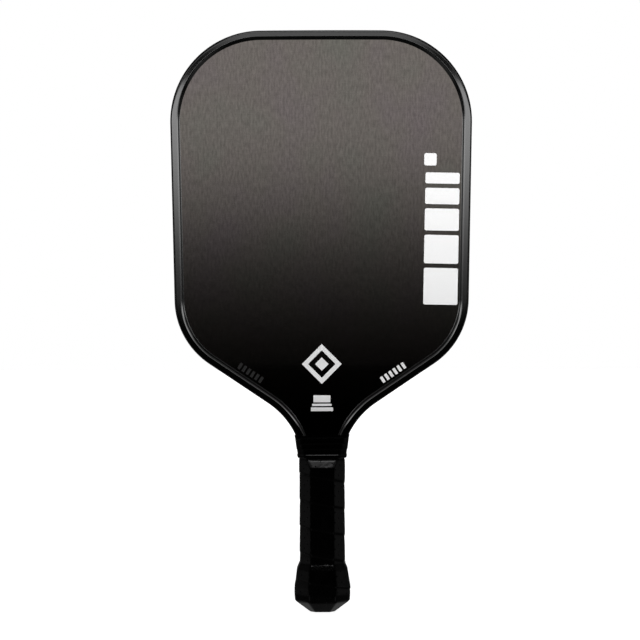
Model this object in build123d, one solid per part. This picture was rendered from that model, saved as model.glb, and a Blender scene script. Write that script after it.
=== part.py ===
"""Pickleball paddle: a bonded sandwich panel with an edge guard, a built-up handle, a butt cap and a grip.

Units are millimetres. +Z runs from the butt end to the top of the blade, the front hitting face looks along -Y,
and the origin is the centre of the butt end's flat. Nothing in the object moves.
"""

from build123d import *

import os
from math import acos, atan2, cos, degrees, hypot, pi, sin, sqrt

# ---- Driving dimensions ----
OVERALL_LENGTH = 396.5
BLADE_HALF_WIDTH = 102.9
PANEL_THICKNESS = 14.0

# Blade outline, measured on the outside of the edge guard: circles joined by their common tangents
CROWN_RADIUS = 5500.0
CORNER_RADIUS = 62.0
SHOULDER_RADIUS = 53.2
SHOULDER_CENTRE = (47.1, 213.3)
NECK_RADIUS = 54.4
NECK_CENTRE = (67.2, 97.2)

# Layers of the panel, from outside to inside
FACE_SHEET = 0.25
INNER_PLY = 0.25
BOND_FILM = 0.1
CELL_ACROSS_FLATS = 7.6
CELL_WALL = 0.4
CORE_RIM = 0.8

# Edge guard: a U-shaped channel, and the tape that bonds its web to the rim of the panel
GUARD_WEB = 1.5
GUARD_REACH = 6.2
GUARD_LIP = 1.1
GUARD_NOSE_RADIUS = 2.0
GUARD_CREST = 1.7
GUARD_BEVEL = (5.3, 0.52)  # where the lip starts down to the face: distance in, height over the panel
GUARD_LIP_EDGE = 0.15
GUARD_END_Z = 114.7
TAPE_THICKNESS = 0.3
TAPE_HALF_WIDTH = 6.0

# Handle: an octagon made of the panel's tang and a pallet on each side of it
HANDLE_HALF_WIDTH = 13.6
HANDLE_HALF_DEPTH = 13.8
TANG_SIDE_HALF = 7.2
HANDLE_BOTTOM = 5.7
RAMP_BOTTOM = 98.5
RAMP_TOP = 112.5
RAMP_TOP_HALF_DEPTH = 8.0

# Butt cap: height and outward offset from the handle's octagon, from the end upwards
CAP_LIP = [(0.0, -5.2), (7.6, 4.4), (8.5, 4.9)]
CAP_SKIRT = [(8.5, 3.2), (12.5, 3.6), (17.0, 3.7), (21.0, 3.05), (25.0, 2.45), (29.0, 1.9), (32.5, 0.5)]
CAP_CLEARANCE = 0.05
CAP_FLOOR = 5.6
BADGE_RADIUS = 5.4
BADGE_THICKNESS = 0.7
BADGE_RECESS_DEPTH = 0.8
STAPLE_Z = 19.0
STAPLE_HALF_SPAN = 4.0
STAPLE_WIRE = 0.9
STAPLE_REACH = 7.0
STAPLE_SINK = 0.25

# Grip, finishing tape and collar
GRIP_THICKNESS = 1.8
GRIP_CLEARANCE = 0.05
GRIP_BOTTOM = 8.6
GRIP_TOP = 106.5
FINISHING_TAPE = 0.3
FINISHING_TAPE_BOTTOM = 105.0
FINISHING_TAPE_TOP = 112.0
FINISHING_TAPE_STEP = 1.0
# The collar's ribs from the bottom up: lower end, then half-width, half-depth and corner leg at the crest
COLLAR_RIBS = [
    (104.8, 17.0, 14.4, 5.2),
    (107.2, 17.1, 13.6, 4.8),
    (110.5, 17.8, 12.6, 4.4),
    (114.1, 18.3, 11.2, 3.8),
    (118.0, 18.75, 9.9, 2.2),
]
COLLAR_TOP = 120.4
COLLAR_FLARE = 0.4
COLLAR_LIP_CHAMFER = 0.45
# Its bore: height, half-width, half-depth and corner leg
COLLAR_BORE = [(104.8, 15.8, 13.45, 4.85), (114.0, 16.3, 10.4, 3.0), (120.4, 18.15, 8.25, 1.2)]

# Printed marks on the hitting faces: plain bars, a diamond and rows of ticks
INK = 0.06
BAR_COLUMN_FOOT = (80.8, 209.1)
BAR_WIDTH = 23.3
BAR_HEIGHTS = [25.0, 19.5, 15.0, 11.0, 7.5]
BAR_GAP = 3.0
BAR_CORNER = 1.2
DOT_OFFSET = (-8.5, 98.9)
DOT_SIDE = 8.4
DIAMOND_CENTRE_Z = 168.9
DIAMOND_HALF = 13.6
DIAMOND_STROKE = 3.0
DIAMOND_HEART = 4.6
BLOCK_ROWS = [(145.2, 11.6, 4.8), (141.1, 13.4, 1.5), (138.1, 15.2, 2.6)]
BLOCK_CORNER = 0.4
TICKS = 6
TICK_SIZE = (2.0, 4.6)
TICK_PITCH = 3.4
TICK_INSET = 10.6
TICK_Z = 167.7

OCTAGON_GROWTH = 2 - sqrt(2)  # how much a chamfer's leg grows for each millimetre of offset
PANEL_INSET = GUARD_WEB + TAPE_THICKNESS
HALF_PANEL = PANEL_THICKNESS / 2
HALF_CORE = HALF_PANEL - FACE_SHEET - INNER_PLY - BOND_FILM
CROWN_CENTRE = (0.0, OVERALL_LENGTH - CROWN_RADIUS)
CORNER_X = BLADE_HALF_WIDTH - CORNER_RADIUS
CORNER_CENTRE = (CORNER_X, CROWN_CENTRE[1] + sqrt((CROWN_RADIUS - CORNER_RADIUS) ** 2 - CORNER_X**2))


# ---- Blade outline ----
def common_normal(centre_a, centre_b, reach):
    """Angle of the unit normal n with n . (b - a) = reach, on the right-hand side of the blade."""
    dx, dz = centre_b[0] - centre_a[0], centre_b[1] - centre_a[1]
    return atan2(dz, dx) + acos(reach / hypot(dx, dz))


SIDE_NORMAL = common_normal(CORNER_CENTRE, SHOULDER_CENTRE, CORNER_RADIUS - SHOULDER_RADIUS)
SLOPE_NORMAL = common_normal(SHOULDER_CENTRE, NECK_CENTRE, SHOULDER_RADIUS + NECK_RADIUS)
CROWN_NORMAL = atan2(CORNER_CENTRE[1] - CROWN_CENTRE[1], CORNER_CENTRE[0] - CROWN_CENTRE[0])


def on_circle(centre, radius, angle):
    return (centre[0] + radius * cos(angle), centre[1] + radius * sin(angle))


def point(xz, y=0.0):
    return Vector(xz[0], y, xz[1])


def arc(centre, radius, start, end):
    """Circular arc in the XZ plane between two angles."""
    middle = (start + end) / 2
    return Edge.make_three_point_arc(*(point(on_circle(centre, radius, a)) for a in (start, middle, end)))


def right_edges(inset, neck_end):
    """The outline's right half, inset, from the top's middle to the angle neck_end on the neck's circle."""
    crown, corner = CROWN_RADIUS - inset, CORNER_RADIUS - inset
    shoulder, neck = SHOULDER_RADIUS - inset, NECK_RADIUS + inset
    side = [on_circle(CORNER_CENTRE, corner, SIDE_NORMAL), on_circle(SHOULDER_CENTRE, shoulder, SIDE_NORMAL)]
    slope = [on_circle(SHOULDER_CENTRE, shoulder, SLOPE_NORMAL)]
    slope.append(on_circle(NECK_CENTRE, neck, SLOPE_NORMAL + pi))
    return [
        arc(CROWN_CENTRE, crown, pi / 2, CROWN_NORMAL),
        arc(CORNER_CENTRE, corner, CROWN_NORMAL, SIDE_NORMAL),
        Edge.make_line(point(side[0]), point(side[1])),
        arc(SHOULDER_CENTRE, shoulder, SIDE_NORMAL, SLOPE_NORMAL),
        Edge.make_line(point(slope[0]), point(slope[1])),
        arc(NECK_CENTRE, neck, SLOPE_NORMAL + pi, neck_end),
    ]


def mirrored(shape):
    return shape.mirror(Plane.YZ)


def neck_angle_at_z(radius, z):
    """Angle on the neck's circle, on the paddle's side of it, at height z."""
    rise = z - NECK_CENTRE[1]
    return atan2(rise, -sqrt(radius**2 - rise**2))


def neck_angle_at_x(radius, x):
    """Angle on the upper part of the neck's circle at half-width x."""
    run = x - NECK_CENTRE[0]
    return atan2(sqrt(radius**2 - run**2), run)


def panel_face(y):
    """The panel's shape, blade and tang in one, as a face at depth y."""
    neck = NECK_RADIUS + PANEL_INSET
    angle = neck_angle_at_x(neck, HANDLE_HALF_WIDTH)
    edges = right_edges(PANEL_INSET, angle)
    foot = (HANDLE_HALF_WIDTH, HANDLE_BOTTOM)
    edges.append(Edge.make_line(point(on_circle(NECK_CENTRE, neck, angle)), point(foot)))
    edges.append(Edge.make_line(point(foot), point((0.0, HANDLE_BOTTOM))))
    outline = Wire(edges + [mirrored(e) for e in edges])
    return Face(outline).moved(Location((0, y, 0)))


def along_y(face, depth):
    """A prism on a face that lies in an XZ plane, towards +Y."""
    return Solid.extrude(face, Vector(0, depth, 0))


def layer(y_from, y_to):
    return along_y(panel_face(y_from), y_to - y_from)


def at_height(z, low, high):
    """The x of the line between two points at height z."""
    return low[0] + (z - low[1]) * (high[0] - low[0]) / (high[1] - low[1])


def outline_half_width(z, inset):
    """Half the panel's width at height z, inset from the guard's outside, with the tang drawn in to match."""
    shrink = inset - PANEL_INSET
    corner, shoulder, neck = CORNER_RADIUS - inset, SHOULDER_RADIUS - inset, NECK_RADIUS + inset
    side_top = on_circle(CORNER_CENTRE, corner, SIDE_NORMAL)
    side_foot = on_circle(SHOULDER_CENTRE, shoulder, SIDE_NORMAL)
    slope_top = on_circle(SHOULDER_CENTRE, shoulder, SLOPE_NORMAL)
    slope_foot = on_circle(NECK_CENTRE, neck, SLOPE_NORMAL + pi)
    tang = HANDLE_HALF_WIDTH - shrink
    if z > CORNER_CENTRE[1] + corner or z < HANDLE_BOTTOM + shrink:
        return 0.0
    if z > side_top[1]:
        return CORNER_CENTRE[0] + sqrt(corner**2 - (z - CORNER_CENTRE[1]) ** 2)
    if z > side_foot[1]:
        return at_height(z, side_foot, side_top)
    if z > slope_top[1]:
        return SHOULDER_CENTRE[0] + sqrt(shoulder**2 - (z - SHOULDER_CENTRE[1]) ** 2)
    if z > slope_foot[1]:
        return at_height(z, slope_foot, slope_top)
    if z > NECK_CENTRE[1]:
        return max(tang, NECK_CENTRE[0] - sqrt(neck**2 - (z - NECK_CENTRE[1]) ** 2))
    return tang


# ---- Panel ----
def honeycomb_core():
    """A slab with hexagonal cells right through it. Cells that the panel's edge would cut are left closed."""
    radius = CELL_ACROSS_FLATS / sqrt(3)
    pitch_x = CELL_ACROSS_FLATS + CELL_WALL
    pitch_z = pitch_x * sqrt(3) / 2
    inset = PANEL_INSET + CORE_RIM
    columns = int(BLADE_HALF_WIDTH / pitch_x) + 1
    cells = []
    for row in range(int(OVERALL_LENGTH / pitch_z) + 1):
        z = HANDLE_BOTTOM + CORE_RIM + radius + row * pitch_z
        for column in range(-columns, columns + 1):
            x = (column + 0.5 * (row % 2)) * pitch_x
            corners = [on_circle((x, z), radius, pi / 6 + k * pi / 3) for k in range(6)]
            if all(abs(cx) <= outline_half_width(cz, inset) for cx, cz in corners):
                cells.append(Wire.make_polygon([point(c, -HALF_CORE) for c in corners], close=True))
    slab = panel_face(-HALF_CORE)
    return along_y(Face(slab.outer_wire(), cells), 2 * HALF_CORE)


def panel_layers():
    """The sheets on the front of the core, and the same ones mirrored to the rear."""
    depths = {"bond_film": BOND_FILM, "inner_ply": INNER_PLY, "face_sheet": FACE_SHEET}
    made, outer = {}, -HALF_CORE
    for name, depth in depths.items():
        made["front_" + name] = layer(outer - depth, outer)
        made["rear_" + name] = layer(-outer, depth - outer)
        outer -= depth
    return made


# ---- Edge guard ----
def guard_path(inset):
    """The open path of the guard, from its left end over the top to its right end."""
    edges = right_edges(inset, neck_angle_at_z(NECK_RADIUS + inset, GUARD_END_Z))
    return Wire([mirrored(e) for e in reversed(edges)] + edges)


def guard_profile(plane):
    """The guard's section: local x runs inwards from the nose, local y is through the thickness."""
    top = HALF_PANEL + GUARD_LIP
    nose = GUARD_NOSE_RADIUS
    bulge = nose * (1 - sqrt(0.5))
    lip = [(nose, top), (nose + GUARD_CREST, top), (GUARD_BEVEL[0], HALF_PANEL + GUARD_BEVEL[1])]
    lip.append((GUARD_REACH, HALF_PANEL + GUARD_LIP_EDGE))
    lip += [(GUARD_REACH, HALF_PANEL), (GUARD_WEB, HALF_PANEL), (GUARD_WEB, 0)]
    half = [Line((0, 0), (0, top - nose)), ThreePointArc((0, top - nose), (bulge, top - bulge), lip[0])]
    half.append(Polyline(lip))
    return plane * make_face(half + [edge.mirror(Plane.XZ) for edge in half])


def edge_guard():
    path = guard_path(0.0)
    start, heading = path @ 0, path % 0
    inwards = heading.cross(Vector(0, 1, 0))
    if inwards.X * start.X > 0:
        inwards = -inwards
    return sweep(guard_profile(Plane(origin=start, x_dir=inwards, z_dir=heading)), path=path)


def edge_guard_tape():
    """A thin strip that follows the panel's rim, against the inside of the guard's web."""
    outer, inner = guard_path(GUARD_WEB), guard_path(PANEL_INSET)
    ends = [Edge.make_line(outer @ k, inner @ k) for k in (0, 1)]
    ring = Face(Wire(list(outer.edges()) + list(inner.edges()) + ends))
    return along_y(ring.moved(Location((0, -TAPE_HALF_WIDTH, 0))), 2 * TAPE_HALF_WIDTH)


# ---- Octagonal sections ----
def octagon(z, half_width, half_depth, leg):
    """A rectangle with 45-degree corners, as a face at height z."""
    a, b = half_width - leg, half_depth - leg
    corners = [(half_width, b), (a, half_depth), (-a, half_depth), (-half_width, b)]
    corners += [(-x, -y) for x, y in corners]
    return Face(Wire.make_polygon([Vector(x, y, z) for x, y in corners], close=True))


def handle_half_depth(z):
    """Half the bare handle's depth: constant, then a ramp down to the blade."""
    share = min(max((z - RAMP_BOTTOM) / (RAMP_TOP - RAMP_BOTTOM), 0.0), 1.0)
    return HANDLE_HALF_DEPTH + share * (RAMP_TOP_HALF_DEPTH - HANDLE_HALF_DEPTH)


def handle_section(z, offset):
    """The bare handle's octagon at height z, offset outwards."""
    half_depth = handle_half_depth(z)
    leg = half_depth - TANG_SIDE_HALF + OCTAGON_GROWTH * offset
    return octagon(z, HANDLE_HALF_WIDTH + offset, half_depth + offset, leg)


def stack(stations):
    """A solid through the handle's octagon at each (height, offset)."""
    return loft([handle_section(z, offset) for z, offset in stations], ruled=True)


# ---- Handle ----
def staple(side):
    """A wire staple: a crown let into the skirt's flat and two legs into the pallet. side is -1 in front."""
    offsets = dict(CAP_SKIRT)
    share = (STAPLE_Z - 17.0) / (21.0 - 17.0)
    surface = HANDLE_HALF_DEPTH + offsets[17.0] + share * (offsets[21.0] - offsets[17.0])
    crown_y = surface - STAPLE_SINK - STAPLE_WIRE / 2
    crown = Box(2 * STAPLE_HALF_SPAN, STAPLE_WIRE, STAPLE_WIRE)
    leg = Box(STAPLE_WIRE, STAPLE_REACH, STAPLE_WIRE)
    leg = Pos(STAPLE_HALF_SPAN - STAPLE_WIRE / 2, -STAPLE_REACH / 2, 0) * leg
    made = crown + leg + leg.mirror(Plane.YZ)
    if side < 0:
        made = made.mirror(Plane.XZ)
    return Pos(0, side * crown_y, STAPLE_Z) * made


def staple_slot(side):
    """The room over a staple's crown, out to the skirt's surface."""
    depth = 2 * STAPLE_WIRE
    y = HANDLE_HALF_DEPTH + dict(CAP_SKIRT)[17.0]
    return Pos(0, side * y, STAPLE_Z) * Box(2 * STAPLE_HALF_SPAN, depth, STAPLE_WIRE)


def handle_pallet(side, staples):
    """The part of the handle's octagon in front of the panel, or behind it, bored by the staples' legs."""
    body = stack([(HANDLE_BOTTOM, 0), (RAMP_BOTTOM, 0), (RAMP_TOP, 0)])
    room = Pos(0, side * (HALF_PANEL + OVERALL_LENGTH / 2), OVERALL_LENGTH / 2)
    return (body & room * Box(OVERALL_LENGTH, OVERALL_LENGTH, 2 * OVERALL_LENGTH)) - staples


def butt_cap(staples):
    """An octagonal cup over the handle's end, with a flared skirt under the grip and a bevelled lip below."""
    outside = stack(CAP_LIP) + stack(CAP_SKIRT)
    top = CAP_SKIRT[-1][0]
    hollow = stack([(CAP_FLOOR, CAP_CLEARANCE), (top + 1, CAP_CLEARANCE)])
    recess = Pos(0, 0, BADGE_RECESS_DEPTH / 2) * Cylinder(BADGE_RADIUS + CAP_CLEARANCE, BADGE_RECESS_DEPTH)
    return outside - hollow - recess - staples - staple_slot(-1) - staple_slot(1)


def butt_cap_badge():
    """A plain round plate at the bottom of the recess in the butt end."""
    return Pos(0, 0, BADGE_RECESS_DEPTH - BADGE_THICKNESS / 2) * Cylinder(BADGE_RADIUS, BADGE_THICKNESS)


# ---- Grip, tape and collar ----
def grip_seat():
    """Heights and offsets of what the grip is wound on: the cap's skirt, then the bare handle."""
    top = CAP_SKIRT[-1][0]
    return [(GRIP_BOTTOM, CAP_SKIRT[0][1]), *CAP_SKIRT[1:], (top + 1, 0), (RAMP_BOTTOM, 0), (GRIP_TOP, 0)]


def base_grip():
    """The wound grip as one sleeve of its full thickness."""
    seat = grip_seat()
    inside = stack([(z, t + GRIP_CLEARANCE) for z, t in seat])
    return stack([(z, t + GRIP_THICKNESS) for z, t in seat]) - inside


def grip_finishing_tape():
    """A band that holds down the grip's upper end and runs on to the bare handle."""
    on_grip = GRIP_THICKNESS + GRIP_CLEARANCE
    step = GRIP_TOP + FINISHING_TAPE_STEP
    seat = [(FINISHING_TAPE_BOTTOM, on_grip), (GRIP_TOP, on_grip), (step, GRIP_CLEARANCE)]
    seat.append((FINISHING_TAPE_TOP, GRIP_CLEARANCE))
    inside = stack(seat)
    return stack([(z, t + FINISHING_TAPE) for z, t in seat]) - inside


def collar_rib(bottom, top, width, depth, leg, chamfer):
    """One rib: it flares upwards to its crest, which may be chamfered."""
    levels = [(bottom, COLLAR_FLARE), (top - chamfer, 0.0)]
    if chamfer:
        levels.append((top, chamfer))
    rings = [octagon(z, width - inset, depth - inset, leg - OCTAGON_GROWTH * inset) for z, inset in levels]
    return loft(rings, ruled=True)


def grip_collar():
    """A rubber ring of stepped ribs, drawn in from the grip's section to the neck's."""
    tops = [rib[0] for rib in COLLAR_RIBS[1:]] + [COLLAR_TOP]
    bottom, *crest = COLLAR_RIBS[0]
    body = collar_rib(bottom, tops[0], *crest, COLLAR_LIP_CHAMFER)
    for (bottom, *crest), top in zip(COLLAR_RIBS[1:], tops[1:]):
        body += collar_rib(bottom, top, *crest, 0)
    return body - loft([octagon(*ring) for ring in COLLAR_BORE], ruled=True)


# ---- Printed marks ----
def bar(x, z, width, height, corner):
    return Pos(x, z) * RectangleRounded(width, height, corner)


def bar_column():
    """Bars stacked up the blade's side, each lower than the one below it, with a small square above them."""
    column = Pos(*BAR_COLUMN_FOOT) * Rot(0, 0, degrees(SIDE_NORMAL))
    marks, rise = [column * bar(*DOT_OFFSET, DOT_SIDE, DOT_SIDE, BAR_CORNER)], 0.0
    for height in BAR_HEIGHTS:
        marks.append(column * bar(0, rise + height / 2, BAR_WIDTH, height, BAR_CORNER))
        rise += height + BAR_GAP
    return marks


def diamond(half):
    return make_face(Polyline((half, 0), (0, half), (-half, 0), (0, -half), close=True))


def centre_marks():
    """An outlined diamond with a solid one inside it, over three short bars."""
    outline = diamond(DIAMOND_HALF) - diamond(DIAMOND_HALF - DIAMOND_STROKE * sqrt(2))
    marks = [Pos(0, DIAMOND_CENTRE_Z) * outline, Pos(0, DIAMOND_CENTRE_Z) * diamond(DIAMOND_HEART)]
    return marks + [bar(0, z, width, height, BLOCK_CORNER) for z, width, height in BLOCK_ROWS]


def tick_row():
    """Short ticks along the right-hand slope of the blade, square to it."""
    x = outline_half_width(TICK_Z, TICK_INSET)
    row = Pos(x, TICK_Z) * Rot(0, 0, degrees(SLOPE_NORMAL) + 90)
    return [row * bar(-k * TICK_PITCH, 0, *TICK_SIZE, BLOCK_CORNER) for k in range(TICKS)]


def printed(sketches, front=True):
    """Marks drawn as seen from the front, as ink on a hitting face."""
    ink = Compound(children=[extrude(Plane.XZ.offset(HALF_PANEL) * s, INK) for s in sketches])
    return ink if front else ink.rotate(Axis.Z, 180)


def dark_ticks():
    return [s.mirror(Plane.YZ) for s in tick_row()]


def build():
    staples = {side: staple(side) for side in (-1, 1)}
    both_staples = Compound(children=list(staples.values()))
    parts = {"honeycomb_core": honeycomb_core(), **panel_layers()}
    parts["edge_guard"] = edge_guard()
    parts["edge_guard_tape"] = edge_guard_tape()
    for name, side in (("front", -1), ("rear", 1)):
        parts[name + "_handle_pallet"] = handle_pallet(side, staples[side])
        parts[name + "_white_print"] = printed(bar_column() + centre_marks() + tick_row(), side < 0)
        parts[name + "_dark_print"] = printed(dark_ticks(), side < 0)
    parts["butt_cap"] = butt_cap(both_staples)
    parts["butt_cap_badge"] = butt_cap_badge()
    parts["butt_cap_staples"] = both_staples
    parts["base_grip"] = base_grip()
    parts["grip_finishing_tape"] = grip_finishing_tape()
    parts["grip_collar"] = grip_collar()
    return parts


if __name__ == "__main__":
    os.makedirs("parts", exist_ok=True)
    for node, shape in build().items():
        export_step(shape, f"parts/{node}.step")
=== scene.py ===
from math import acos, atan2, cos, hypot, pi, radians, sin, sqrt, tan

import bmesh
import bpy
from mathutils import Euler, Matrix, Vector, noise


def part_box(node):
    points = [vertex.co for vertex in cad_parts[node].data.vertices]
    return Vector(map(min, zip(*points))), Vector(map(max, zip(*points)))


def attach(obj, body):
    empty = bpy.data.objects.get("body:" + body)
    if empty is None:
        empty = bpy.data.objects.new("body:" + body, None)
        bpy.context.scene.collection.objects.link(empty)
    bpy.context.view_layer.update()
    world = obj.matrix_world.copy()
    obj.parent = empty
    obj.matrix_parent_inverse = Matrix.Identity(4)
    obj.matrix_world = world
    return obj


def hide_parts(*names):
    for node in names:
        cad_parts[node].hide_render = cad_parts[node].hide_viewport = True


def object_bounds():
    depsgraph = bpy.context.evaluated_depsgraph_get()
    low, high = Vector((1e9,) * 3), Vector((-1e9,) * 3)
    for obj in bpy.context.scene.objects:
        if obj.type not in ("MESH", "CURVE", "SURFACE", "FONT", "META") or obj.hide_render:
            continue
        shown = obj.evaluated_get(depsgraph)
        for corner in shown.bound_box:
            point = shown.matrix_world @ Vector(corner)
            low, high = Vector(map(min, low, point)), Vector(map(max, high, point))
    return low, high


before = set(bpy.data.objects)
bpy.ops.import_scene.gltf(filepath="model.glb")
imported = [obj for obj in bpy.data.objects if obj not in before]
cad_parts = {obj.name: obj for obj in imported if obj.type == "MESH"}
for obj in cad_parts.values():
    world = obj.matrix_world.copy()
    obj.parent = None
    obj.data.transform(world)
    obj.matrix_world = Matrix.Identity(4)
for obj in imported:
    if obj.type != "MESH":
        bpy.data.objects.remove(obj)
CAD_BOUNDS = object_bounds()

# Pickleball paddle, in metres, in the CAD's frame: +Z up the handle to the blade, -Y out of the front face.
MM = 0.001

# ---- Sizes shared with the CAD, in metres ----
LENGTH = CAD_BOUNDS[1][2] - CAD_BOUNDS[0][2]
BLADE_HALF_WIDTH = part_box("edge_guard")[1].x
HALF_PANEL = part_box("rear_face_sheet")[1].y
GUARD_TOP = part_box("edge_guard")[1].y
CROWN_RADIUS = 5.5
CORNER_RADIUS = 0.062
SHOULDER_RADIUS, SHOULDER_CENTRE = 0.0532, (0.0471, 0.2133)
NECK_RADIUS, NECK_CENTRE = 0.0544, (0.0672, 0.0972)
CROWN_CENTRE = (0.0, LENGTH - CROWN_RADIUS)
CORNER_X = BLADE_HALF_WIDTH - CORNER_RADIUS
CORNER_CENTRE = (CORNER_X, CROWN_CENTRE[1] + sqrt((CROWN_RADIUS - CORNER_RADIUS) ** 2 - CORNER_X**2))
GUARD_WEB = 0.0015
GUARD_END_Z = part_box("edge_guard")[0].z

HANDLE_HALF_WIDTH = 0.0136
HANDLE_HALF_DEPTH = 0.0138
SIDE_FLAT_HALF = 0.0072
RAMP = (0.0985, 0.1125)
RAMP_TOP_HALF_DEPTH = 0.008
OCTAGON_GROWTH = 2 - sqrt(2)
GRIP_SEAT = [(0.0086, 0.0032), (0.0125, 0.0036), (0.017, 0.0037), (0.021, 0.00305), (0.025, 0.00245),
             (0.029, 0.0019), (0.0325, 0.0005), (0.0335, 0.0), (0.1065, 0.0)]
GRIP_THICKNESS = 0.0018


def between(low, high, share):
    return low + share * (high - low)


def table(stations, at):
    """Straight-line value between (place, value) stations."""
    if at <= stations[0][0]:
        return stations[0][1]
    for (a, low), (b, high) in zip(stations, stations[1:]):
        if at <= b:
            return between(low, high, (at - a) / (b - a))
    return stations[-1][1]


# ---- Mesh helpers ----
def make_piece(name, verts, faces, materials, sharp=40, face_slots=None):
    mesh = bpy.data.meshes.new(name)
    mesh.from_pydata([tuple(v) for v in verts], [], faces)
    mesh.validate()
    for material in materials:
        mesh.materials.append(material)
    for i, face in enumerate(mesh.polygons):
        face.use_smooth = True
        if face_slots:
            face.material_index = face_slots[i]
    mesh.set_sharp_from_angle(angle=radians(sharp))
    piece = bpy.data.objects.new(name, mesh)
    bpy.context.scene.collection.objects.link(piece)
    return piece


def tidy(piece):
    """Turns every face's normal outwards."""
    work = bmesh.new()
    work.from_mesh(piece.data)
    bmesh.ops.recalc_face_normals(work, faces=work.faces)
    work.to_mesh(piece.data)
    work.free()
    return piece


def ring_faces(rings, closed=False):
    """Quads between rings of equal length, each closed on itself. closed joins the last ring to the first."""
    count = len(rings[0])
    faces = []
    for r in range(len(rings) if closed else len(rings) - 1):
        a, b = r * count, (r + 1) % len(rings) * count
        for i in range(count):
            j = (i + 1) % count
            faces.append((a + i, a + j, b + j, b + i))
    return faces


def stand_in(piece, node):
    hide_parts(node)
    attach(piece, "root")
    return piece


# ---- Blade outline ----
def common_normal(centre_a, centre_b, reach):
    dx, dz = centre_b[0] - centre_a[0], centre_b[1] - centre_a[1]
    return atan2(dz, dx) + acos(reach / hypot(dx, dz))


SIDE_NORMAL = common_normal(CORNER_CENTRE, SHOULDER_CENTRE, CORNER_RADIUS - SHOULDER_RADIUS)
SLOPE_NORMAL = common_normal(SHOULDER_CENTRE, NECK_CENTRE, SHOULDER_RADIUS + NECK_RADIUS)
CROWN_NORMAL = atan2(CORNER_CENTRE[1] - CROWN_CENTRE[1], CORNER_CENTRE[0] - CROWN_CENTRE[0])


def arc_steps(centre, radius, start, end, outward, step):
    """(x, z, normal x, normal z) along a circular arc, its first point left out."""
    count = max(2, int(abs(end - start) * radius / step))
    out = []
    for k in range(1, count + 1):
        a = between(start, end, k / count)
        place = (centre[0] + radius * cos(a), centre[1] + radius * sin(a))
        out.append((*place, outward * cos(a), outward * sin(a)))
    return out


def line_steps(start, end, normal, step):
    count = max(2, int(hypot(end[0] - start[0], end[1] - start[1]) / step))
    nx, nz = cos(normal), sin(normal)
    return [(between(start[0], end[0], k / count), between(start[1], end[1], k / count), nx, nz)
            for k in range(1, count + 1)]


FINE_STEP, COARSE_STEP = 0.0016, 0.004


def outline_path():
    """(x, z, outward normal) along the guard's outside, from its left end over the top to its right end."""
    rise = GUARD_END_Z - NECK_CENTRE[1]
    neck_end = atan2(rise, -sqrt(NECK_RADIUS**2 - rise**2))
    half = [(0.0, LENGTH, 0.0, 1.0)]
    half += arc_steps(CROWN_CENTRE, CROWN_RADIUS, pi / 2, CROWN_NORMAL, 1, COARSE_STEP)
    half += arc_steps(CORNER_CENTRE, CORNER_RADIUS, CROWN_NORMAL, SIDE_NORMAL, 1, FINE_STEP)
    foot = (SHOULDER_CENTRE[0] + SHOULDER_RADIUS * cos(SIDE_NORMAL),
            SHOULDER_CENTRE[1] + SHOULDER_RADIUS * sin(SIDE_NORMAL))
    half += line_steps(half[-1][:2], foot, SIDE_NORMAL, COARSE_STEP)
    half += arc_steps(SHOULDER_CENTRE, SHOULDER_RADIUS, SIDE_NORMAL, SLOPE_NORMAL, 1, FINE_STEP)
    foot = (NECK_CENTRE[0] + NECK_RADIUS * cos(SLOPE_NORMAL + pi),
            NECK_CENTRE[1] + NECK_RADIUS * sin(SLOPE_NORMAL + pi))
    half += line_steps(half[-1][:2], foot, SLOPE_NORMAL, COARSE_STEP)
    half += arc_steps(NECK_CENTRE, NECK_RADIUS, SLOPE_NORMAL + pi, neck_end, -1, FINE_STEP)
    left = [(-x, z, -nx, nz) for x, z, nx, nz in reversed(half[1:])]
    return left + half


# ---- Octagonal rings ----
RING_POINTS = 128


def octagon_corners(half_width, half_depth, leg):
    a, b = half_width - leg, half_depth - leg
    return [(half_width, b), (a, half_depth), (-a, half_depth), (-half_width, b),
            (-half_width, -b), (-a, -half_depth), (a, -half_depth), (half_width, -b)]


def rounded_octagon(half_width, half_depth, leg, radius):
    """The octagon with its corners rounded, as a dense loop of points from the middle of its rear side."""
    corners = octagon_corners(half_width, half_depth, leg)
    order = corners[2:] + corners[:2]
    side_steps, corner_steps = 8, 6
    setback = radius * tan(pi / 8)
    loop, previous = [], (0.0, half_depth)
    loop.append(previous)
    for k, corner in enumerate(order):
        here = Vector(corner)
        before = (Vector(order[k - 1]) - here).normalized()
        after = (Vector(order[(k + 1) % 8]) - here).normalized()
        start = here + before * setback
        centre = here + (before + after).normalized() * (radius / cos(pi / 8))
        first = loop[-1]
        loop += [(between(first[0], start.x, t / side_steps), between(first[1], start.y, t / side_steps))
                 for t in range(1, side_steps + 1)]
        a0 = atan2(start.y - centre.y, start.x - centre.x)
        turns = [a0 + pi / 4 * t / corner_steps for t in range(1, corner_steps + 1)]
        loop += [(centre.x + radius * cos(a), centre.y + radius * sin(a)) for a in turns]
    first = loop[-1]
    loop += [(between(first[0], 0.0, t / side_steps), between(first[1], half_depth, t / side_steps))
             for t in range(1, side_steps)]
    return loop


def even_places(loop, count):
    """Where count evenly spaced points fall on a closed loop, as (index, share) pairs."""
    lengths = [hypot(b[0] - a[0], b[1] - a[1]) for a, b in zip(loop, loop[1:] + loop[:1])]
    total, places, walked, i = sum(lengths), [], 0.0, 0
    for k in range(count):
        target = total * k / count
        while walked + lengths[i] < target:
            walked += lengths[i]
            i += 1
        places.append((i, (target - walked) / lengths[i]))
    return places


NOMINAL_RADIUS = 0.0022
NOMINAL_SIZES = (0.0154, 0.0156, 0.00765)  # half-width, half-depth and corner leg over the wrapped grip
PLACES = even_places(rounded_octagon(*NOMINAL_SIZES, NOMINAL_RADIUS), RING_POINTS)


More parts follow.
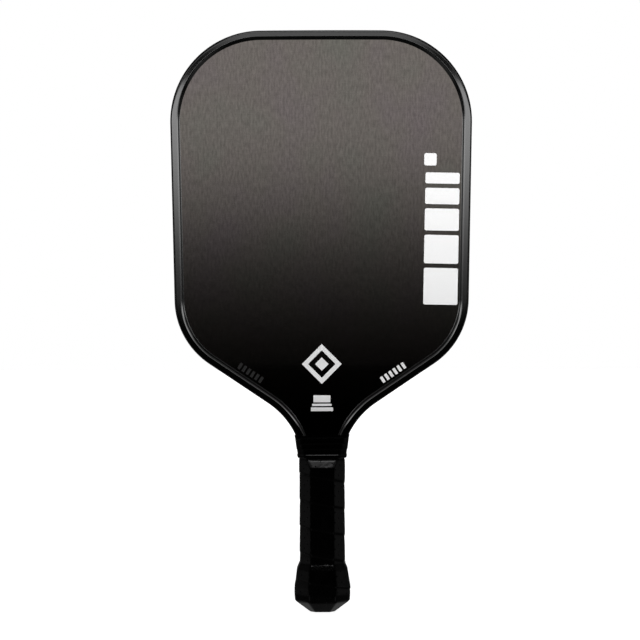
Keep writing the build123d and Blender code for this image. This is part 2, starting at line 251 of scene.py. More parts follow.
def ring_coefficients():
    """Ring points are linear in half-width, half-depth, leg and corner radius: one weight row for each."""
    base, change = (0.03, 0.03, 0.01, 0.001), 0.001
    loops = [rounded_octagon(*base)]
    for k in range(len(base)):
        changed = list(base)
        changed[k] += change
        loops.append(rounded_octagon(*changed))
    rows = []
    for i, share in PLACES:
        j = (i + 1) % len(loops[0])
        here = [Vector(loop[i]).lerp(Vector(loop[j]), share) for loop in loops]
        slopes = [(moved - here[0]) / change for moved in here[1:]]
        rest = here[0] - sum((s * b for s, b in zip(slopes, base)), Vector((0, 0)))
        rows.append((slopes, rest))
    return rows


RING_ROWS = ring_coefficients()


def octagon_point(i, half_width, half_depth, leg, radius):
    slopes, rest = RING_ROWS[i]
    return slopes[0] * half_width + slopes[1] * half_depth + slopes[2] * leg + slopes[3] * radius + rest


def handle_half_depth(z):
    share = min(max((z - RAMP[0]) / (RAMP[1] - RAMP[0]), 0.0), 1.0)
    return between(HANDLE_HALF_DEPTH, RAMP_TOP_HALF_DEPTH, share)


def handle_point(i, z, offset, radius):
    """Point i of the bare handle's octagon at height z, offset outwards and rounded."""
    depth = handle_half_depth(z)
    leg = depth - SIDE_FLAT_HALF + OCTAGON_GROWTH * offset
    xy = octagon_point(i, HANDLE_HALF_WIDTH + offset, depth + offset, leg, radius)
    return Vector((xy.x, xy.y, z))


def handle_ring(z, offset, radius):
    return [handle_point(i, z, offset, radius) for i in range(RING_POINTS)]


# ---- Material helpers ----
def new_material(name, base, roughness, metallic=0.0):
    """A Principled material with its uniform values on the shader's own sockets."""
    material = bpy.data.materials.new(name)
    material.use_nodes = True
    shader = material.node_tree.nodes["Principled BSDF"]
    shader.inputs["Base Color"].default_value = (*base, 1.0)
    shader.inputs["Roughness"].default_value = roughness
    shader.inputs["Metallic"].default_value = metallic
    return material, shader


def add_node(material, kind, **values):
    made = material.node_tree.nodes.new(kind)
    for key, value in values.items():
        if key in made.inputs:
            made.inputs[key].default_value = value
        else:
            setattr(made, key, value)
    return made


def link(material, source, target):
    material.node_tree.links.new(source, target)


def stretched(material, size):
    """Object coordinates divided by a size for each axis, so that a texture repeats at that size."""
    place = add_node(material, "ShaderNodeTexCoord")
    scale = add_node(material, "ShaderNodeMapping")
    scale.inputs["Scale"].default_value = tuple(1 / s for s in size)
    link(material, place.outputs["Object"], scale.inputs["Vector"])
    return scale.outputs["Vector"]


def noise_at(material, size, detail=2.0, rough=0.5):
    texture = add_node(material, "ShaderNodeTexNoise", Scale=1.0, Detail=detail, Roughness=rough)
    link(material, stretched(material, size), texture.inputs["Vector"])
    return texture.outputs["Fac"]


def ramp(material, source, stops):
    """Colours (or greys) along a value. stops are (place, colour)."""
    made = add_node(material, "ShaderNodeValToRGB")
    elements = made.color_ramp.elements
    while len(elements) < len(stops):
        elements.new(0.5)
    for element, (place, colour) in zip(elements, stops):
        element.position = place
        element.color = (*colour, 1.0) if isinstance(colour, tuple) else (colour, colour, colour, 1.0)
    link(material, source, made.inputs["Fac"])
    return made.outputs["Color"]


def mixed(material, blend, share, a, b):
    made = add_node(material, "ShaderNodeMix", data_type="RGBA", blend_type=blend)
    if isinstance(share, float):
        made.inputs[0].default_value = share
    else:
        link(material, share, made.inputs[0])
    link(material, a, made.inputs[6])
    link(material, b, made.inputs[7])
    return made.outputs[2]


def math(material, operation, a, b=None, c=None):
    made = add_node(material, "ShaderNodeMath", operation=operation)
    for socket, value in zip(made.inputs, (a, b, c)):
        if isinstance(value, (int, float)):
            socket.default_value = value
        elif value is not None:
            link(material, value, socket)
    return made.outputs[0]


def span(material, source, low, high):
    """Maps a 0..1 value on to low..high."""
    made = add_node(material, "ShaderNodeMapRange")
    made.inputs["To Min"].default_value = low
    made.inputs["To Max"].default_value = high
    link(material, source, made.inputs["Value"])
    return made.outputs["Result"]


def bump(material, shader, height, distance, strength=1.0):
    made = add_node(material, "ShaderNodeBump", Strength=strength, Distance=distance)
    link(material, height, made.inputs["Height"])
    link(material, made.outputs["Normal"], shader.inputs["Normal"])
    return made


def bands(material, size, axis):
    """A sine across the given axis, 0 to 1, one thread for each size."""
    place = add_node(material, "ShaderNodeSeparateXYZ")
    link(material, stretched(material, (size, size, size)), place.inputs[0])
    turned = math(material, "MULTIPLY", place.outputs[axis], 2 * pi)
    return math(material, "MULTIPLY_ADD", math(material, "SINE", turned), 0.5, 0.5)


# ---- Materials ----
WARP_PITCH = 0.9 * MM
WEFT_PITCH = 0.8 * MM


def carbon_weave(material):
    """Height of a fine plain weave: warp threads up the blade, weft threads across it."""
    warp, weft = bands(material, WARP_PITCH, 0), bands(material, WEFT_PITCH, 2)
    grain = noise_at(material, (0.25 * MM, 1.0, 1.8 * MM), 2.0)
    crossed = math(material, "MAXIMUM", warp, math(material, "MULTIPLY", weft, 0.8))
    return math(material, "MULTIPLY_ADD", grain, 0.2, crossed)


def carbon_face():
    """Woven carbon under a thin matt resin: nearly black and seen by its reflection, so metallic."""
    material, shader = new_material("carbon_face", (0.036, 0.0326, 0.0303), 0.1, 1.0)
    tint = ramp(material, noise_at(material, (0.05, 1.0, 0.06), 2.0),
                [(0.3, (0.0342, 0.0333, 0.0294)), (0.5, (0.0367, 0.0330, 0.0303)),
                 (0.68, (0.0367, 0.0317, 0.0317))])
    warp = ramp(material, noise_at(material, (1.3 * MM, 1.0, 5 * MM), 3.0, 0.6), [(0.35, 0.82), (0.65, 1.17)])
    weft = ramp(material, noise_at(material, (6 * MM, 1.0, 0.9 * MM), 2.0, 0.6), [(0.3, 0.94), (0.7, 1.06)])
    colour = mixed(material, "MULTIPLY", 1.0, tint, warp)
    link(material, mixed(material, "MULTIPLY", 1.0, colour, weft), shader.inputs["Base Color"])
    rough = span(material, noise_at(material, (12 * MM, 1.0, 15 * MM), 3.0), 0.085, 0.11)
    link(material, rough, shader.inputs["Roughness"])
    bump(material, shader, carbon_weave(material), 0.0015 * MM)
    return material


def white_ink():
    material, shader = new_material("white_ink", (0.93, 0.93, 0.92), 0.45)
    tone = ramp(material, noise_at(material, (0.5 * MM, 1.0, 0.5 * MM), 3.0), [(0.3, 0.88), (0.55, 0.95)])
    link(material, tone, shader.inputs["Base Color"])
    worn = noise_at(material, (3 * MM, 1.0, 3 * MM))
    link(material, span(material, worn, 0.38, 0.52), shader.inputs["Roughness"])
    bump(material, shader, carbon_weave(material), 0.003 * MM)
    return material


def dark_ink():
    material, shader = new_material("dark_ink", (0.006, 0.006, 0.006), 0.35)
    shader.inputs["Specular IOR Level"].default_value = 0.25
    tone = ramp(material, noise_at(material, (0.5 * MM, 1.0, 0.5 * MM), 3.0), [(0.3, 0.004), (0.6, 0.008)])
    link(material, tone, shader.inputs["Base Color"])
    bump(material, shader, carbon_weave(material), 0.003 * MM)
    return material


def moulded(name, base, rough, grain_size, grain_depth, wear=0.0, gloss=0.5):
    """Moulded plastic or rubber: a fine grain, a roughness that wanders, and lighter handling marks."""
    material, shader = new_material(name, base, rough)
    shader.inputs["Specular IOR Level"].default_value = gloss
    cloud = noise_at(material, (14 * MM,) * 3, 3.0)
    low, high = tuple(c * (1 - wear) for c in base), tuple(c * (1 + wear) for c in base)
    link(material, ramp(material, cloud, [(0.35, low), (0.65, high)]), shader.inputs["Base Color"])
    smears = noise_at(material, (9 * MM, 9 * MM, 3 * MM), 4.0, 0.6)
    link(material, span(material, smears, rough * 0.8, rough * 1.2), shader.inputs["Roughness"])
    bump(material, shader, noise_at(material, (grain_size,) * 3, 2.0), grain_depth)
    return material


def grip_leather():
    """Perforated synthetic leather: a soft pebble grain with finer pores in it."""
    material, shader = new_material("grip_leather", (0.001, 0.001, 0.001), 0.18)
    shader.inputs["Specular IOR Level"].default_value = 0.25
    cells = add_node(material, "ShaderNodeTexVoronoi", Scale=1.0)
    link(material, stretched(material, (0.55 * MM,) * 3), cells.inputs["Vector"])
    pebble = math(material, "MULTIPLY", cells.outputs["Distance"], -1.0)
    pores = noise_at(material, (0.15 * MM,) * 3, 2.0)
    height = math(material, "ADD", pebble, math(material, "MULTIPLY", pores, 0.4))
    tone = ramp(material, noise_at(material, (6 * MM,) * 3, 4.0, 0.6), [(0.3, 0.0005), (0.7, 0.0013)])
    link(material, tone, shader.inputs["Base Color"])
    worn = noise_at(material, (8 * MM, 8 * MM, 5 * MM), 3.0)
    link(material, span(material, worn, 0.13, 0.19), shader.inputs["Roughness"])
    bump(material, shader, height, 0.006 * MM)
    return material


def laminate(name, base, rough, fibre):
    """A laminate or film with a crossed fibre pattern."""
    material, shader = new_material(name, base, rough)
    across = noise_at(material, (fibre, 1.0, fibre * 12), 2.0)
    along = noise_at(material, (fibre * 12, 1.0, fibre), 2.0)
    dark = tuple(c * 0.82 for c in base)
    colour = ramp(material, mixed(material, "MIX", 0.5, across, along), [(0.35, dark), (0.65, base)])
    link(material, colour, shader.inputs["Base Color"])
    bump(material, shader, across, 0.01 * MM)
    return material


def brushed_wire():
    material, shader = new_material("staple_wire", (0.62, 0.62, 0.63), 0.3, 1.0)
    drawn = noise_at(material, (4 * MM, 0.08 * MM, 0.08 * MM), 3.0)
    link(material, span(material, drawn, 0.2, 0.42), shader.inputs["Roughness"])
    bump(material, shader, drawn, 0.01 * MM)
    return material


# ---- Pieces ----
NOSE_RADIUS = 2.0 * MM
NOSE_STEPS = 14
CROWN_TILT = radians(6)
CREST = 4.2 * MM
GUARD_REACH = 6.6 * MM
# A groove runs round the middle of the nose: (distance in, distance from the middle), in mm
NOSE_GROOVE = [(0.02, 0.12), (0.0, 0.35), (0.0, 2.0), (0.0, 4.5)]
GROOVE_DEPTH = 0.1 * MM
# From the crest the lip steps down to the face: (distance in, depth below the top), in mm
GUARD_LIP = [(4.2, 0.0), (4.23, 0.007), (4.28, 0.02), (4.8, 0.169), (4.86, 0.192), (5.3, 0.385), (5.36, 0.42),
             (6.4, 1.03), (6.48, 1.07), (6.6, 1.1)]


def guard_section():
    """The guard's section as (distance in from the nose, depth), round from the groove on the nose."""
    start = NOSE_RADIUS * (1 - sin(CROWN_TILT))
    middle = GUARD_TOP - (CREST - start) * tan(CROWN_TILT) - NOSE_RADIUS * cos(CROWN_TILT)
    turns = [between(pi / 2, CROWN_TILT, k / NOSE_STEPS) for k in range(NOSE_STEPS + 1)]
    half = [(u * MM, y * MM) for u, y in NOSE_GROOVE]
    half += [(NOSE_RADIUS - NOSE_RADIUS * sin(a), middle + NOSE_RADIUS * cos(a)) for a in turns]
    half += [(between(start, CREST, share), GUARD_TOP - (CREST - start) * (1 - share) * tan(CROWN_TILT))
             for share in (0.2, 0.5, 0.8, 0.95)]
    half += [(u * MM, GUARD_TOP - y * MM) for u, y in GUARD_LIP]
    half += [(GUARD_WEB, HALF_PANEL), (GUARD_WEB, HALF_PANEL / 2)]
    return [(GROOVE_DEPTH, 0.0)] + half + [(GUARD_WEB, 0.0)] + [(u, -y) for u, y in reversed(half)]


WAVE_DEPTH = 0.05 * MM
WAVES_PER_METRE = 40


def edge_guard(material):
    """The moulded channel round the blade. A slight waviness shows that it was pulled round by hand."""
    section = guard_section()
    rings = []
    for x, z, nx, nz in outline_path():
        wave = WAVE_DEPTH * noise.noise(Vector((x * WAVES_PER_METRE, z * WAVES_PER_METRE, 3.0)))
        ring = []
        for u, y in section:
            free = 0.5 * MM < u < GUARD_REACH - MM
            inward = max(u + (wave if free else 0.0) * (1 - u / GUARD_REACH), 0.0)
            ring.append((x - nx * inward, y, z - nz * inward))
        rings.append(ring)
    count = len(section)
    verts = [v for ring in rings for v in ring]
    faces = ring_faces(rings)
    last = (len(rings) - 1) * count
    faces += [tuple(range(count)), tuple(last + i for i in reversed(range(count)))]
    piece = tidy(make_piece("edge_guard_moulding", verts, faces, [material], sharp=50))
    return stand_in(piece, "edge_guard")


TURN = 18.0 * MM  # how far the strip climbs in one turn
ROWS_PER_TURN = 36
WRAP_START = 0.916  # how far into a turn the strip starts
WRAP_BULGE = 0.15 * MM
WRAP_ROUNDING = 2.5 * MM
WRAP_SHARP = 45
SPARE_ROWS = 2
TURN_DRIFT = 0.02
LAP_VARIATION = 0.25
DIMPLE_DEPTH = 0.04 * MM
PERFORATION_ROWS = (9, 16, 23, 30)
PERFORATION_STEP = 8
PERFORATION_RADIUS = 0.42 * MM
PERFORATION_DEPTH = 0.55 * MM
# How the strip's surface lies in from its fullest: (share of a turn up from its lower edge, height in mm)
WRAP_PROFILE = [(0.0, -0.42), (0.02, -0.27), (0.045, -0.08), (0.075, -0.015), (0.12, 0.0), (0.3, -0.03),
                (0.6, -0.1), (0.85, -0.19), (0.95, -0.27), (1.0, -0.42)]
# The strip is doubled over just under the collar: (height, extra thickness)
GRIP_SWELL = [(0.088, 0.0), (0.097, 0.00025), (0.1035, 0.00030), (0.1044, 0.0)]


def wrap_height(phase, along, z):
    """How far the wound strip's surface lies above the grip's full thickness, in metres."""
    wander = noise.noise(Vector((along * 3.1, z * 90, 1.0)))
    level = table(WRAP_PROFILE, phase) * MM
    swell = table(GRIP_SWELL, z)
    dimples = DIMPLE_DEPTH * (noise.noise(Vector((along * 9, z * 260, 7.0))) - 1)
    return level * (1 + LAP_VARIATION * wander) + swell + dimples


def grip_rows():
    """Rows of the wound strip's surface. A row is one turn of the helix, and ends a turn above its start."""
    bottom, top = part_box("base_grip")[0].z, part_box("base_grip")[1].z
    step = TURN / ROWS_PER_TURN
    first = -ROWS_PER_TURN - SPARE_ROWS
    last = int((top - bottom) / step) + SPARE_ROWS + 1
    rows = []
    for j in range(first, last):
        row = []
        phase = (j / ROWS_PER_TURN + WRAP_START) % 1.0
        for i in range(RING_POINTS):
            along = i / RING_POINTS
            z = bottom + (j + along * ROWS_PER_TURN) * step
            offset = table(GRIP_SEAT, z) + GRIP_THICKNESS + WRAP_BULGE
            offset += wrap_height(phase, along * 2 * pi + j * TURN_DRIFT, z)
            place = handle_point(i, z, offset, WRAP_ROUNDING)
            row.append(Vector((-place.x, place.y, place.z)))
        rows.append(row)
    return rows
# Painted shade: a darker matt material with no reflection for the perforations' sunk faces, so that the holes
# read dark


def perforate(verts, index, holes):
    """Draws the eight vertices round each hole's centre on to a circle, and sinks the centre."""
    ring = [(-1, -1), (-1, 0), (-1, 1), (0, 1), (1, 1), (1, 0), (1, -1), (0, -1)]
    for j, i in holes:
        around = [index(j + dj, i + di) for dj, di in ring]
        centre = verts[index(j, i)].copy()
        up = (verts[index(j + 1, i)] - verts[index(j - 1, i)]).normalized()
        side = (verts[index(j, i + 1)] - verts[index(j, i - 1)]).normalized()
        normal = side.cross(up).normalized()
        if normal.dot(Vector((centre.x, centre.y, 0))) < 0:
            normal = -normal
        for (dj, di), v in zip(ring, around):
            direction = (up * dj + side * di).normalized()
            verts[v] = centre + direction * PERFORATION_RADIUS
        verts[index(j, i)] = centre - normal * PERFORATION_DEPTH


GRIP_TRIM = 0.02 * MM
WRAP_WALL = 0.9 * MM


def base_grip(material, hole_painted_shade):
    """The perforated strip wound up the handle, each turn lapping over the one below it. The faces round each
    hole take a darker material with no gloss: painted shade inside the holes.
    """
    bottom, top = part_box("base_grip")[0].z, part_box("base_grip")[1].z
    rows = grip_rows()
    verts = [v for row in rows for v in row]

    def index(j, i):
        turns, i = divmod(i, RING_POINTS)
        return (j + turns * ROWS_PER_TURN) * RING_POINTS + i

    holes = []
    for j in range(1, len(rows) - 2):
        in_turn = (j + round(WRAP_START * ROWS_PER_TURN) - SPARE_ROWS) % ROWS_PER_TURN
        if in_turn in PERFORATION_ROWS:
            shift = PERFORATION_STEP // 2 * (PERFORATION_ROWS.index(in_turn) % 2)
            holes += [(j, i) for i in range(1 + shift, RING_POINTS - 1, PERFORATION_STEP)]
    perforate(verts, index, holes)
    hole_set = {index(j, i) for j, i in holes}
    faces, slots = [], []
    for j in range(len(rows) - 1):
        for i in range(RING_POINTS):
            if i == RING_POINTS - 1 and j + 1 + ROWS_PER_TURN >= len(rows):
                continue
            face = (index(j, i), index(j, i + 1), index(j + 1, i + 1), index(j + 1, i))
            faces.append(face)
            # Faces that touch a hole take the second slot, the painted shade in the holes
            slots.append(1 if hole_set.intersection(face) else 0)
    piece = make_piece("base_grip_wrap", verts, faces, [material, hole_painted_shade], WRAP_SHARP, slots)
    work = bmesh.new()
    work.from_mesh(piece.data)
    for z, keep_above in ((bottom + GRIP_TRIM, True), (top - GRIP_TRIM, False)):
        bmesh.ops.bisect_plane(work, geom=work.verts[:] + work.edges[:] + work.faces[:], plane_co=(0, 0, z),
                               plane_no=(0, 0, 1), clear_inner=keep_above, clear_outer=not keep_above)
    bmesh.ops.recalc_face_normals(work, faces=work.faces)
    work.to_mesh(piece.data)
    work.free()
    piece.data.set_sharp_from_angle(angle=radians(WRAP_SHARP))
    wall = piece.modifiers.new("wall", "SOLIDIFY")
    wall.thickness = WRAP_WALL
    wall.offset = -1
    return stand_in(piece, "base_grip")


def stack_piece(name, rings, materials, sharp=40, cap_centres=None, closed=False):
    """A closed solid through a stack of rings. cap_centres are the points that close its end rings."""
    verts = [v for ring in rings for v in ring]
    faces = ring_faces(rings, closed)
    if cap_centres:
        count, base = len(rings[0]), len(verts)
        verts += cap_centres
        last = (len(rings) - 1) * count
        for i in range(count):
            j = (i + 1) % count
            faces += [(base, j, i), (base + 1, last + i, last + j)]
    return tidy(make_piece(name, verts, faces, materials, sharp))


def circle_ring(radius, z):
    """A circle whose points lie at the same angles as the handle ring's points."""
    ring = []
    for i in range(RING_POINTS):
        p = handle_point(i, RAMP[0], 0.0, NOMINAL_RADIUS)
        a = atan2(p.y, p.x)
        ring.append(Vector((radius * cos(a), radius * sin(a), z)))
    return ring


CAP_RECESS_DEPTH = 0.8 * MM
CAP_RECESS_RADIUS = 5.45 * MM
# The edge of the recess: (radius beyond the recess's own, height)
CAP_RECESS_EDGE = [(-0.02 * MM, CAP_RECESS_DEPTH), (0.0, 0.2 * MM), (0.08 * MM, 0.05 * MM), (0.25 * MM, 0.0)]
# The cap's outside up to the grip: (height, offset from the bare handle, corner radius), in mm
CAP_LIP = [(0.0, -5.75, 0.8), (0.03, -5.45, 0.9), (0.14, -5.2, 1.0), (0.4, -4.85, 1.1), (2.0, -2.8, 1.4),
           (4.6, 0.5, 2.0), (6.9, 3.45, 2.4), (7.5, 4.15, 2.5), (8.0, 4.6, 2.5), (8.3, 4.72, 2.5),
           (8.5, 4.6, 2.5), (8.55, 4.2, 2.5), (8.55, 3.45, 2.5)]
CAP_SKIRT_GAP = 0.05 * MM
CAP_BORE_OFFSET = 0.08 * MM
CAP_BORE_ROUNDING = 0.5 * MM
CAP_BORE_HEIGHTS = (0.031, 0.018, 0.0056)


def butt_cap(material):
    """The moulded cup over the handle's end, with rounded outside edges and the badge's recess."""
    rings = [circle_ring(CAP_RECESS_RADIUS + beyond, z) for beyond, z in CAP_RECESS_EDGE]
    rings += [handle_ring(z * MM, offset * MM, radius * MM) for z, offset, radius in CAP_LIP]
    rings += [handle_ring(z, offset - CAP_SKIRT_GAP, NOMINAL_RADIUS) for z, offset in GRIP_SEAT[1:7]]
    rings += [handle_ring(z, CAP_BORE_OFFSET, CAP_BORE_ROUNDING) for z in CAP_BORE_HEIGHTS]
    centres = [Vector((0, 0, CAP_RECESS_DEPTH)), Vector((0, 0, CAP_BORE_HEIGHTS[-1]))]
    piece = stack_piece("butt_cap_moulding", rings, [material], sharp=35, cap_centres=centres)
    return stand_in(piece, "butt_cap")


# The badge's face and edge from its middle out: (radius, depth from its lower face), in mm
BADGE_OUTLINE = [(0.4, 0.12), (2.6, 0.12), (2.75, 0.02), (3.4, 0.0), (3.55, 0.12), (4.4, 0.14), (4.6, 0.02),
                 (5.0, 0.0), (5.3, 0.06), (5.38, 0.2), (5.38, 0.69)]
BADGE_GAP = 0.01 * MM


def butt_cap_badge(material):
    """A plain turned disc with one raised ring."""
    low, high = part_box("butt_cap_badge")[0].z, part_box("butt_cap_badge")[1].z
    rings = [circle_ring(r * MM, low + d * MM) for r, d in BADGE_OUTLINE]
    centres = [Vector((0, 0, low + BADGE_OUTLINE[0][1] * MM)), Vector((0, 0, high - BADGE_GAP))]
    piece = stack_piece("butt_cap_disc", rings, [material], sharp=30, cap_centres=centres)
    return stand_in(piece, "butt_cap_badge")


# Collar ribs from the bottom up: lower end, then half-width, half-depth and corner leg at the crest, in mm
COLLAR_RIBS = [(105.2, 17.0, 14.4, 5.2), (107.8, 17.1, 13.6, 4.8), (110.9, 17.8, 12.6, 4.4),
               (114.4, 18.3, 11.2, 3.8), (118.3, 18.75, 9.9, 2.2)]
COLLAR_BORE = [(120.4, 18.15, 8.25, 1.2), (114.0, 16.3, 10.4, 3.0), (105.2, 15.8, 13.3, 4.75)]
COLLAR_ROUNDING = 2.2 * MM
# How each rib's surface lies in from its crest: (share of the rib's height, inset in mm)
RIB_PROFILE = [(0.0, 0.45), (0.04, 0.43), (0.12, 0.38), (0.3, 0.3), (0.6, 0.16), (0.84, 0.05), (1.0, 0.0)]
# The lowest rib has a bevelled lip: (height above the rib's foot, inset), in mm
LIP_PROFILE = [(0.0, 0.6), (0.04, 0.47), (0.12, 0.4), (0.8, 0.2), (1.6, 0.06), (1.92, 0.0), (2.0, 0.02),
               (2.06, 0.05), (2.52, 0.25), (2.58, 0.34), (2.6, 0.62)]
COLLAR_LEAN = 0.02
COLLAR_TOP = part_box("grip_collar")[1].z / MM


def collar_ring(z, width, depth, leg, inset):
    """The collar's section in mm at height z, drawn in by inset. The collar sits a little crooked."""
    sizes = [size * MM for size in (width - inset, depth - inset, leg - OCTAGON_GROWTH * inset)]
    share = (z - COLLAR_RIBS[0][0]) / (COLLAR_TOP - COLLAR_RIBS[0][0])
    ring = []
    for i in range(RING_POINTS):
        p = octagon_point(i, *sizes, COLLAR_ROUNDING)
        ring.append(Vector((p.x, p.y, z * MM + COLLAR_LEAN * p.x * share)))
    return ring


def grip_collar(material):
    """The ribbed rubber ring at the grip's upper end."""
    rings = []
    tops = [rib[0] for rib in COLLAR_RIBS[1:]] + [COLLAR_TOP]
    for k, ((foot, *crest), top) in enumerate(zip(COLLAR_RIBS, tops)):
        steps = LIP_PROFILE if k == 0 else [(at * (top - foot), inset) for at, inset in RIB_PROFILE]
        rings += [collar_ring(foot + rise, *crest, inset) for rise, inset in steps]
    rings += [collar_ring(z, width, depth, leg, 0.0) for z, width, depth, leg in COLLAR_BORE]
    piece = stack_piece("grip_collar_ribs", rings, [material], sharp=35, closed=True)
    return stand_in(piece, "grip_collar")


# ---- Scene ----
def paint(node, material):
    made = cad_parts[node]
    made.data.materials.clear()
    made.data.materials.append(material)


def paint_hidden_nodes():
    core = laminate("core_polypropylene", (0.72, 0.72, 0.68), 0.5, 0.8 * MM)
    film = laminate("bond_film", (0.5, 0.42, 0.25), 0.25, 0.6 * MM)
    glass = laminate("glass_ply", (0.42, 0.47, 0.38), 0.3, 0.5 * MM)
    tape = moulded("foam_tape", (0.02, 0.02, 0.02), 0.8, 0.4 * MM, 0.05 * MM, 0.3)
    foam = moulded("pallet_foam", (0.6, 0.52, 0.36), 0.85, 0.5 * MM, 0.08 * MM, 0.12)
    vinyl = moulded("finishing_vinyl", (0.006, 0.006, 0.006), 0.35, 0.6 * MM, 0.01 * MM, 0.3)
    paint("honeycomb_core", core)
    for side in ("front", "rear"):
        paint(side + "_bond_film", film)
        paint(side + "_inner_ply", glass)
        paint(side + "_handle_pallet", foam)
    paint("edge_guard_tape", tape)
    paint("grip_finishing_tape", vinyl)
    paint("butt_cap_staples", brushed_wire())


def paint_faces():
    carbon, white, dark = carbon_face(), white_ink(), dark_ink()
    for side in ("front", "rear"):
        paint(side + "_face_sheet", carbon)
        paint(side + "_white_print", white)
        paint(side + "_dark_print", dark)


def build_pieces():
    edge_guard(moulded("guard_plastic", (0.0008, 0.0009, 0.0008), 0.10, 0.9 * MM, 0.002 * MM, 0.3, 0.75))
    painted_pit_shade = moulded("perforation_painted_shade", (0.0005, 0.0005, 0.0005), 0.8, 0.2 * MM, 0.01 * MM, 0.3, 0.0)
    base_grip(grip_leather(), painted_pit_shade)
    grip_collar(moulded("collar_rubber", (0.0007, 0.0007, 0.0007), 0.16, 0.35 * MM, 0.002 * MM, 0.3, 0.35))
    butt_cap(moulded("cap_plastic", (0.001, 0.001, 0.001), 0.2, 0.3 * MM, 0.003 * MM, 0.3, 0.3))
    butt_cap_badge(moulded("badge_plastic", (0.012, 0.012, 0.012), 0.3, 0.4 * MM, 0.005 * MM, 0.2))


# Brightness round the studio by elevation in degrees. The front and side ramps are for directions that face
# the paddle's front, the rear ramp for those level with its rim, the back ramp for those behind it.
FRONT_LIGHT = [(-90, 0.04), (-25, 0.02), (-10, 0.0), (18, 0.0), (20.5, 1.5), (24, 1.2), (28, 0.2), (38, 0.2),
               (42, 1.0), (45, 4.0), (49.5, 7.5), (56, 8.5), (90, 8.5)]
SIDE_LIGHT = [(-90, 0.04), (-40, 0.05), (-30, 0.3), (-20, 0.3), (-12, 0.0), (1.5, 0.0), (3, 1.0), (5, 4.4),
              (7, 5.4), (10, 4.6), (13, 1.0), (17, 0.2), (19, 1.2), (24, 1.2), (26, 0.2), (60, 0.6),
              (80, 2.0), (90, 2.5)]
REAR_LIGHT = [(-90, 0.02), (-14, 0.03), (-7, 0.17), (5, 0.12), (40, 0.02), (60, 0.0), (90, 0.5)]
BACK_LIGHT = [(-90, 0.05), (-50, 0.1), (-35, 0.35), (-14, 0.35), (-7, 0.1), (40, 0.1), (60, 0.3), (90, 1.0)]
# Where one ramp gives way to the next: from and to, in |X| for the side, and in Y for the other two
SIDE_FROM = (0.25, 0.45)
REAR_FROM = (-0.68, -0.56)
BACK_FROM = (0.15, 0.4)
# Brightness up the softbox in front of the paddle, by height in metres
SOFTBOX_LIGHT = [(0.06, 0.0), (0.15, 0.012), (0.2, 0.035), (0.25, 0.085), (0.3, 0.18), (0.35, 0.365),
                 (0.4, 0.58), (0.45, 0.79), (0.5, 0.93), (0.54, 0.93), (0.62, 1.0), (0.7, 1.0), (0.76, 0.0)]
SOFTBOX_STRENGTH = 4.1
SOFTBOX_DISTANCE = 1.6
SOFTBOX_HALF_WIDTH = 1.0


def softbox():
    """A wide softbox behind the camera, fading out downwards, so that the face darkens to the handle."""
    low, high = SOFTBOX_LIGHT[0][0], SOFTBOX_LIGHT[-1][0]
    material, shader = new_material("softbox_cloth", (0.0, 0.0, 0.0), 1.0)
    place = add_node(material, "ShaderNodeTexCoord")
    axes = add_node(material, "ShaderNodeSeparateXYZ")
    link(material, place.outputs["Object"], axes.inputs[0])
    rise = add_node(material, "ShaderNodeMapRange")
    rise.inputs["From Min"].default_value = low
    rise.inputs["From Max"].default_value = high
    link(material, axes.outputs["Z"], rise.inputs["Value"])
    stops = [((height - low) / (high - low), level) for height, level in SOFTBOX_LIGHT]
    link(material, ramp(material, rise.outputs["Result"], stops), shader.inputs["Emission Color"])
    shader.inputs["Emission Strength"].default_value = SOFTBOX_STRENGTH
    x, y = SOFTBOX_HALF_WIDTH, -HALF_PANEL - SOFTBOX_DISTANCE
    corners = [(x, y, low), (-x, y, low), (-x, y, high), (x, y, high)]
    panel = make_piece("softbox", corners, [(0, 1, 2, 3)], [material])
    panel.visible_camera = False


FLAG_DISTANCE = 0.12
FLAG_HALF_WIDTH = 0.3
FLAG_TOP = 0.165


def black_flag():
    """A black card low in front of the paddle. It keeps the softbox off the handle and the neck."""
    material, shader = new_material("flag_black", (0.0, 0.0, 0.0), 1.0)
    shader.inputs["Specular IOR Level"].default_value = 0.0
    x, y = FLAG_HALF_WIDTH, CAD_BOUNDS[0][1] - FLAG_DISTANCE
    corners = [(-x, y, 0.0), (x, y, 0.0), (x, y, FLAG_TOP), (-x, y, FLAG_TOP)]
    card = make_piece("flag", corners, [(0, 1, 2, 3)], [material])
    card.visible_camera = False


def world_ramp(tree, stops, source):
    peak = max(value for _, value in stops)
    made = tree.nodes.new("ShaderNodeValToRGB")
    elements = made.color_ramp.elements
    while len(elements) < len(stops):
        elements.new(0.5)
    for element, (degrees, value) in zip(elements, stops):
        element.position = 0.5 + 0.5 * sin(radians(degrees))
        element.color = (value / peak, value / peak, value / peak, 1.0)
    tree.links.new(source, made.inputs["Fac"])
    scaled = tree.nodes.new("ShaderNodeVectorMath")
    scaled.operation = "SCALE"
    scaled.inputs["Scale"].default_value = peak
    tree.links.new(made.outputs["Color"], scaled.inputs[0])
    return scaled.outputs[0]


def world_math(tree, operation, source, *values):
    made = tree.nodes.new("ShaderNodeMath")
    made.operation = operation
    tree.links.new(source, made.inputs[0])
    for socket, value in zip(list(made.inputs)[1:], values):
        socket.default_value = value
    return made.outputs[0]


def world_blend(tree, source, low, high, before, after):
    """before where the source lies below low, after where it lies above high."""
    share = tree.nodes.new("ShaderNodeMapRange")
    share.interpolation_type = "SMOOTHSTEP"
    share.inputs["From Min"].default_value = low
    share.inputs["From Max"].default_value = high
    tree.links.new(source, share.inputs["Value"])
    made = tree.nodes.new("ShaderNodeMix")
    made.data_type = "RGBA"
    tree.links.new(share.outputs["Result"], made.inputs[0])
    tree.links.new(before, made.inputs[6])
    tree.links.new(after, made.inputs[7])
    return made.outputs[2]


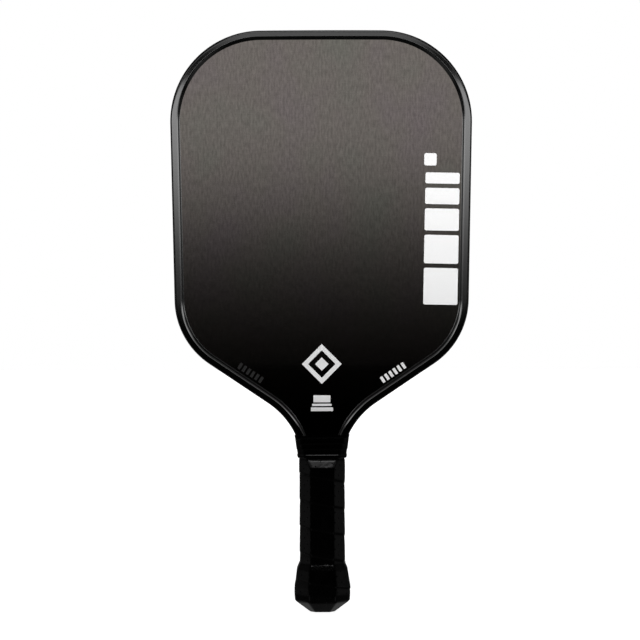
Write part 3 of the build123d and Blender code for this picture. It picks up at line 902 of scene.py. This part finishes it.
def light_studio():
    """A soft dome, dark below the horizon. The camera sees it as plain white."""
    world = bpy.data.worlds.new("studio")
    bpy.context.scene.world = world
    world.use_nodes = True
    tree = world.node_tree
    place = tree.nodes.new("ShaderNodeTexCoord")
    axes = tree.nodes.new("ShaderNodeSeparateXYZ")
    tree.links.new(place.outputs["Generated"], axes.inputs[0])
    height = world_math(tree, "MULTIPLY_ADD", axes.outputs["Z"], 0.5, 0.5)
    sideways = world_math(tree, "ABSOLUTE", axes.outputs["X"])
    ramps = (FRONT_LIGHT, SIDE_LIGHT, REAR_LIGHT, BACK_LIGHT)
    front, side, rear, back = (world_ramp(tree, stops, height) for stops in ramps)
    dome = world_blend(tree, sideways, *SIDE_FROM, front, side)
    dome = world_blend(tree, axes.outputs["Y"], *REAR_FROM, dome, rear)
    dome = world_blend(tree, axes.outputs["Y"], *BACK_FROM, dome, back)
    white = tree.nodes.new("ShaderNodeRGB")
    white.outputs[0].default_value = (1.0, 1.0, 1.0, 1.0)
    rays = tree.nodes.new("ShaderNodeLightPath")
    seen = world_blend(tree, rays.outputs["Is Camera Ray"], 0.0, 1.0, dome, white.outputs[0])
    tree.links.new(seen, tree.nodes["Background"].inputs["Color"])


FLOOR_HALF_SIZE = 6.0
FLOOR_GAP = 0.2 * MM


def pale_floor():
    """A white floor at the butt end's height. It glows a little, like a light table, and isn't reflected."""
    material, shader = new_material("floor_white", (0.9, 0.9, 0.9), 0.9)
    shader.inputs["Emission Color"].default_value = (1.0, 1.0, 1.0, 1.0)
    shader.inputs["Emission Strength"].default_value = 1.0
    size, z = FLOOR_HALF_SIZE, CAD_BOUNDS[0][2] - FLOOR_GAP
    corners = [(-size, -size, z), (size, -size, z), (size, size, z), (-size, size, z)]
    floor = make_piece("floor", corners, [(0, 1, 2, 3)], [material])
    floor.visible_glossy = False


CAMERA_DISTANCE = 1.25
FRAME_WIDTH = 0.4356
SENSOR = 36.0
CAMERA_PLACE = (-0.00115, -GUARD_TOP - CAMERA_DISTANCE, 0.1989)
CAMERA_ROLL = radians(-0.16)


def add_camera():
    data = bpy.data.cameras.new("camera")
    data.sensor_width = SENSOR
    data.lens = SENSOR * CAMERA_DISTANCE / FRAME_WIDTH
    camera = bpy.data.objects.new("camera", data)
    camera.location = CAMERA_PLACE
    upright, rolled = Euler((pi / 2, 0, 0)).to_matrix(), Euler((0, 0, CAMERA_ROLL)).to_matrix()
    camera.rotation_euler = (upright @ rolled).to_euler()
    bpy.context.scene.collection.objects.link(camera)
    bpy.context.scene.camera = camera


bpy.context.scene.view_settings.view_transform = "Standard"
paint_hidden_nodes()
paint_faces()
build_pieces()
light_studio()
softbox()
black_flag()
pale_floor()
add_camera()
